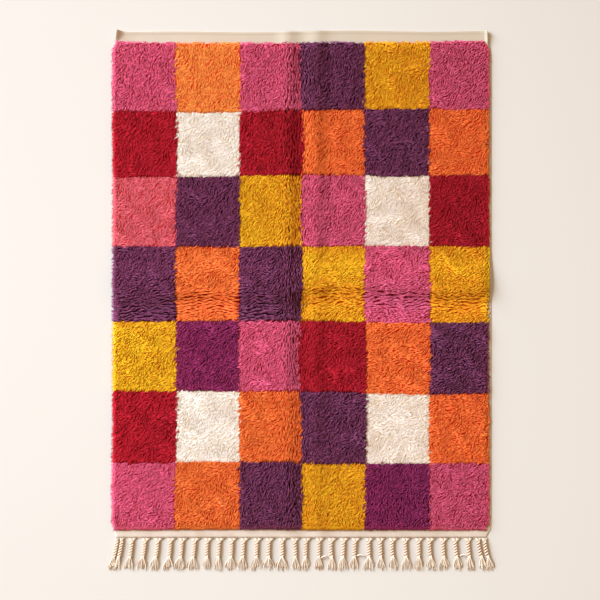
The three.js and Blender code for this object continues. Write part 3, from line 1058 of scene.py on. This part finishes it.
# a loose yarn of a tassel, which spreads like a bell
def yarnPath(rope, place, length, spread, rise, curl):
    end = ropeAxis(rope, np.array(1.0))
    startHeight, tipHeight = fringe["yarnHeights"]

    def path(along):
        bell = smooth(0.12 + along * 1.1) * (1 - 0.12 * smooth(along * 2 - 1))
        x = end[0] + place * mix(0.003, spread, bell) + rope["lean"] * 0.7 * along
        x = x + curl * np.sin(4.5 * along)
        y = end[1] + fringe["yarnOverlap"] - length * along
        z = mix(startHeight + rise, tipHeight + rise * 0.6, smooth(along * 1.3))
        return np.stack([x, y, z], axis=-1)
    return path


def gatherPath(rope, start):
    def path(along):
        x = rope["x"] + start * (1 - along) ** 1.2 + rope["lean"] * 0.2 * along
        y = cloth["lowEnd"] + 0.001 - fringe["gatherLength"] * along ** 1.3
        return np.stack([x, y, mix(*fringe["gatherHeights"], smooth(along))], axis=-1)
    return path


def strayPath(stray):
    def path(along):
        arch = np.sin(math.pi * along)
        x = mix(stray[0], stray[2], along)
        y = mix(stray[1], stray[3], along) + 0.009 * arch
        return np.stack([x, y, 0.004 + 0.006 * arch], axis=-1)
    return path


def makeFringe():
    chance = np.random.default_rng(17)
    plySteps = fringe["plySteps"]
    ply, plyFaces = arraysOf(barTemplate(
        6, [step / plySteps for step in range(1, plySteps)], [0.7] + [1.0] * (plySteps - 1) + [0.8],
    ))
    yarn, yarnFaces = arraysOf(barTemplate(
        5, [0.12, 0.25, 0.4, 0.55, 0.7, 0.85], [1, 1, 1, 1, 1, 0.95, 0.8, 0.2],
    ))
    plies, plyUvs, yarns, yarnUvs = [], [], [], []

    def addYarn(path, radius, tone, firstDepth, lastDepth):
        yarns.append(barAlong(yarn, path, radius))
        # U paints each yarn lighter on top and darker underneath, a painted highlight and shade, and V paints
        # its start in the painted root shade
        yarnUvs.append(np.stack([
            np.clip(tone + 0.34 * yarn[:, 1], 0.03, 0.97), mix(firstDepth, lastDepth, yarn[:, 2]),
        ], axis=1))

    for rope in ropePlaces():
        for index in range(2):
            points = barAlong(ply, plyPath(rope, index), fringe["plyRadius"])
            fromAxis = points - ropeAxis(rope, ply[:, 2])
            crestForPaintedLight = np.hypot(fromAxis[:, 0] / fringe["plyReach"][0], fromAxis[:, 2] / fringe["plyReach"][1])
            plies.append(points)
            # U paints each ply lighter on its outer side and darker in the groove between the plies: painted
            # highlight and shade
            plyUvs.append(np.stack([
                np.clip(1.30 * (crestForPaintedLight - 1.40), 0.03, 0.97), mix(0.16, 0.97, ply[:, 2]) + 0.01 * ply[:, 1],
            ], axis=1))
        spread = min(fringe["yarnSpread"] * chance.uniform(0.85, 1.3), 0.008 + rope["room"] * 0.30)
        middleYarn = (fringe["yarns"] - 1) / 2
        for index in range(fringe["yarns"]):
            isUpper = index % 2
            path = yarnPath(
                rope, (index - middleYarn) / middleYarn + 0.12 * chance.uniform(-1, 1),
                chance.uniform(*fringe["yarnLength"]), spread * chance.uniform(0.85, 1.1),
                fringe["upperRise"] * isUpper, fringe["yarnCurl"] * chance.uniform(-1, 1),
            )
            radius = chance.uniform(*fringe["yarnRadius"]) * (1 if isUpper else fringe["lowerYarnShare"])
            addYarn(path, radius, chance.uniform(*fringe["yarnTones"][isUpper]), 0.16, 0.97)
        for start in fringe["gathers"]:
            start = math.copysign(min(abs(start), rope["room"] * 0.48), start)
            # gathers to the rope's right, away from the lamp, start in the full root colour: a painted shadow
            hasPaintedShadow = start > 0.015
            addYarn(gatherPath(rope, start), fringe["gatherRadius"], 0.6, 0.0 if hasPaintedShadow else 0.08, 0.3)
    for stray in fringe["strays"]:
        addYarn(strayPath(stray), fringe["strayRadius"], 0.6, 0.16, 0.97)

    whole = bmesh.new()
    for points, uvs, faces in ((plies, plyUvs, plyFaces), (yarns, yarnUvs, yarnFaces)):
        points = np.stack(points)
        points[..., 2] = np.maximum(points[..., 2], 0.0)
        addPart(whole, joinedMesh("cotton", points, np.stack(uvs), faces))
    piece = newPiece("twisted_fringe", whole, twistedCotton("cotton_twisted_undyed"))
    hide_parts("fringe")
    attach(piece, "root")
    return piece


fringePiece = makeFringe()
print("fringe made", trianglesOf(fringePiece), "triangles")

# floor: pale matt paper, which takes soft shadows and gives no shine
floorShape = bmesh.new()
bmesh.ops.create_grid(floorShape, x_segments=1, y_segments=1, size=30.0)
floorPaint = newMaterial("floor_matt_paper")
floorShader = addNode(
    floorPaint, "ShaderNodeBsdfPrincipled", inputs={"Base Color": (*linear("CFCBC8"), 1.0), "Roughness": 1.0},
)
addNode(floorPaint, "ShaderNodeOutputMaterial", inputs={"Surface": floorShader.outputs["BSDF"]})
floor = newPiece("floor", floorShape, floorPaint)

# light: one wide soft lamp low on the left, bluish, and a warm room that fills the shadows
studio = {
    "roomColor": (1.0, 0.703, 0.42, 1.0),
    "roomStrength": 0.65,
    "lampSize": 9.0,
    "lampSpread": 60.0,  # degrees
    "lampPower": 548,
    "lampColor": (0.773, 0.901, 1.0),
    "lampPlace": (-7.65, 4.38, 4.31),
    "lampAim": (-0.68, -0.57, 0.0),
}
world = bpy.data.worlds.new("studio")
bpy.context.scene.world = world
world.use_nodes = True
background = world.node_tree.nodes["Background"]
background.inputs["Color"].default_value = studio["roomColor"]
background.inputs["Strength"].default_value = studio["roomStrength"]

keyData = bpy.data.lights.new("key", "AREA")
keyData.shape = "DISK"
keyData.size = studio["lampSize"]
keyData.spread = math.radians(studio["lampSpread"])
keyData.energy = studio["lampPower"]
keyData.color = studio["lampColor"]
key = bpy.data.objects.new("key", keyData)
key.location = studio["lampPlace"]
key.rotation_mode = "QUATERNION"
key.rotation_quaternion = (Vector(studio["lampAim"]) - key.location).to_track_quat("-Z", "Y")
bpy.context.scene.collection.objects.link(key)
bpy.context.scene.view_settings.view_transform = "Standard"
print("floor and light placed")
